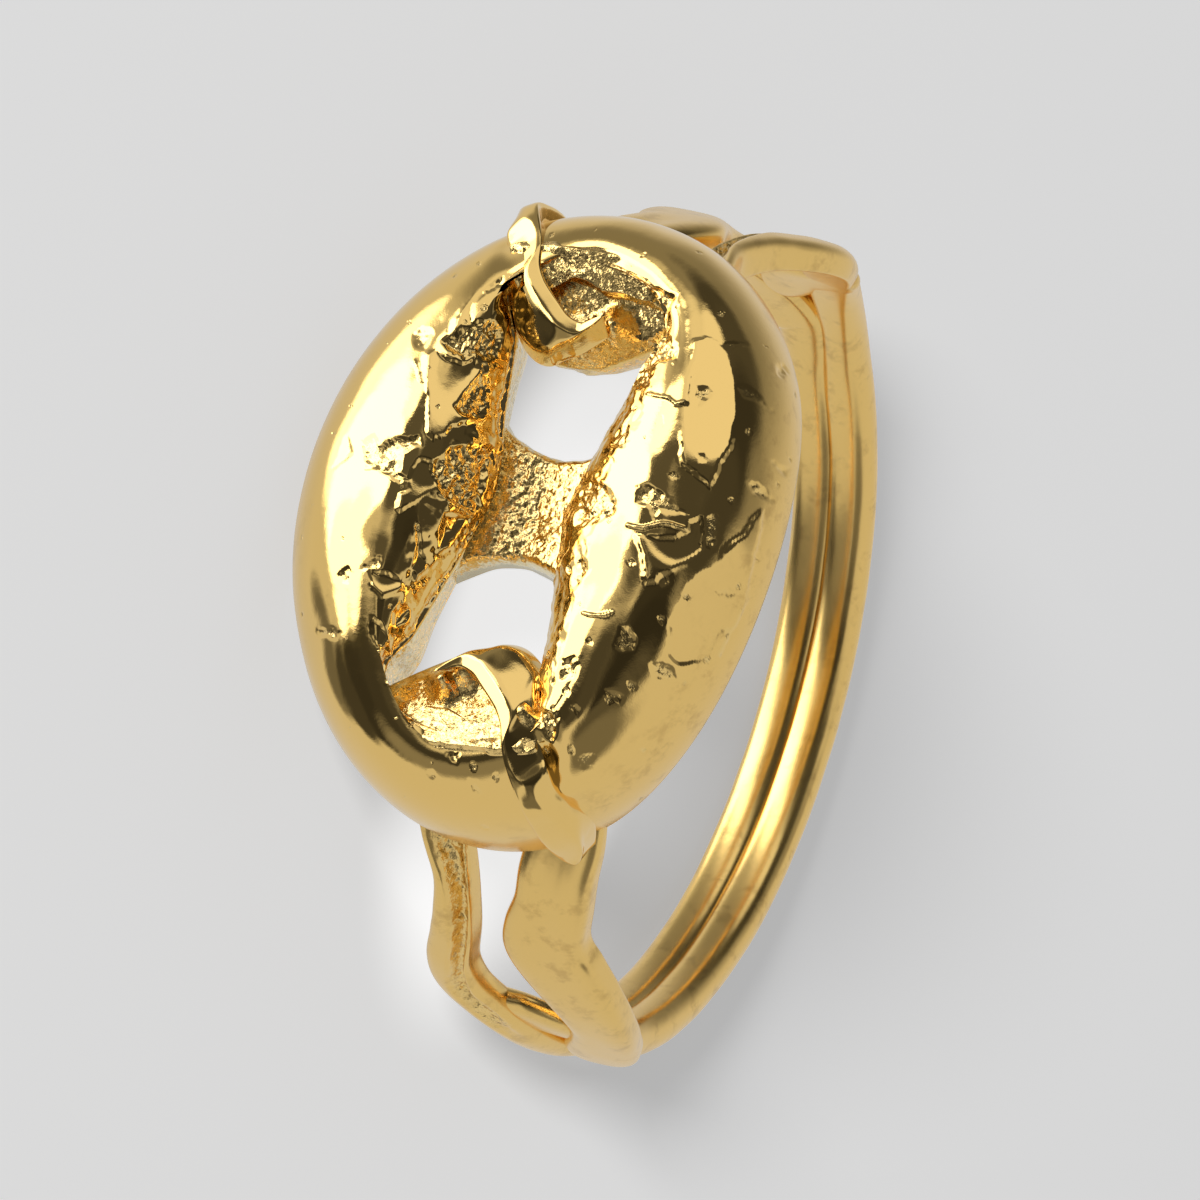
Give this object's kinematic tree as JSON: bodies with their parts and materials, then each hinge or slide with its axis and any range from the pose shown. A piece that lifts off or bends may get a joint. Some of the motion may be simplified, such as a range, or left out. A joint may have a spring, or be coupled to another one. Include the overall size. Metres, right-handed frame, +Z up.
{
  "type": "statement ring",
  "caption": "Gold-tone cast statement ring: a puffed, hammered open link with a crossbar, held by hooked split shoulders on a band of two fused wires.",
  "frame": {"origin": "centre of the bounding box's bottom face; the ring lies on its side as it rests by itself on a table", "axes": "+Z up; the link faces -Y and the back of the band is towards +Y; +X runs along the band's width of the finger circle, right-handed"},
  "size_m": [0.0192, 0.021, 0.0107],
  "materials": {
    "gold": "polished"
  },
  "bodies": {
    "root": {"ring": "gold"}
  },
  "joints": []
}
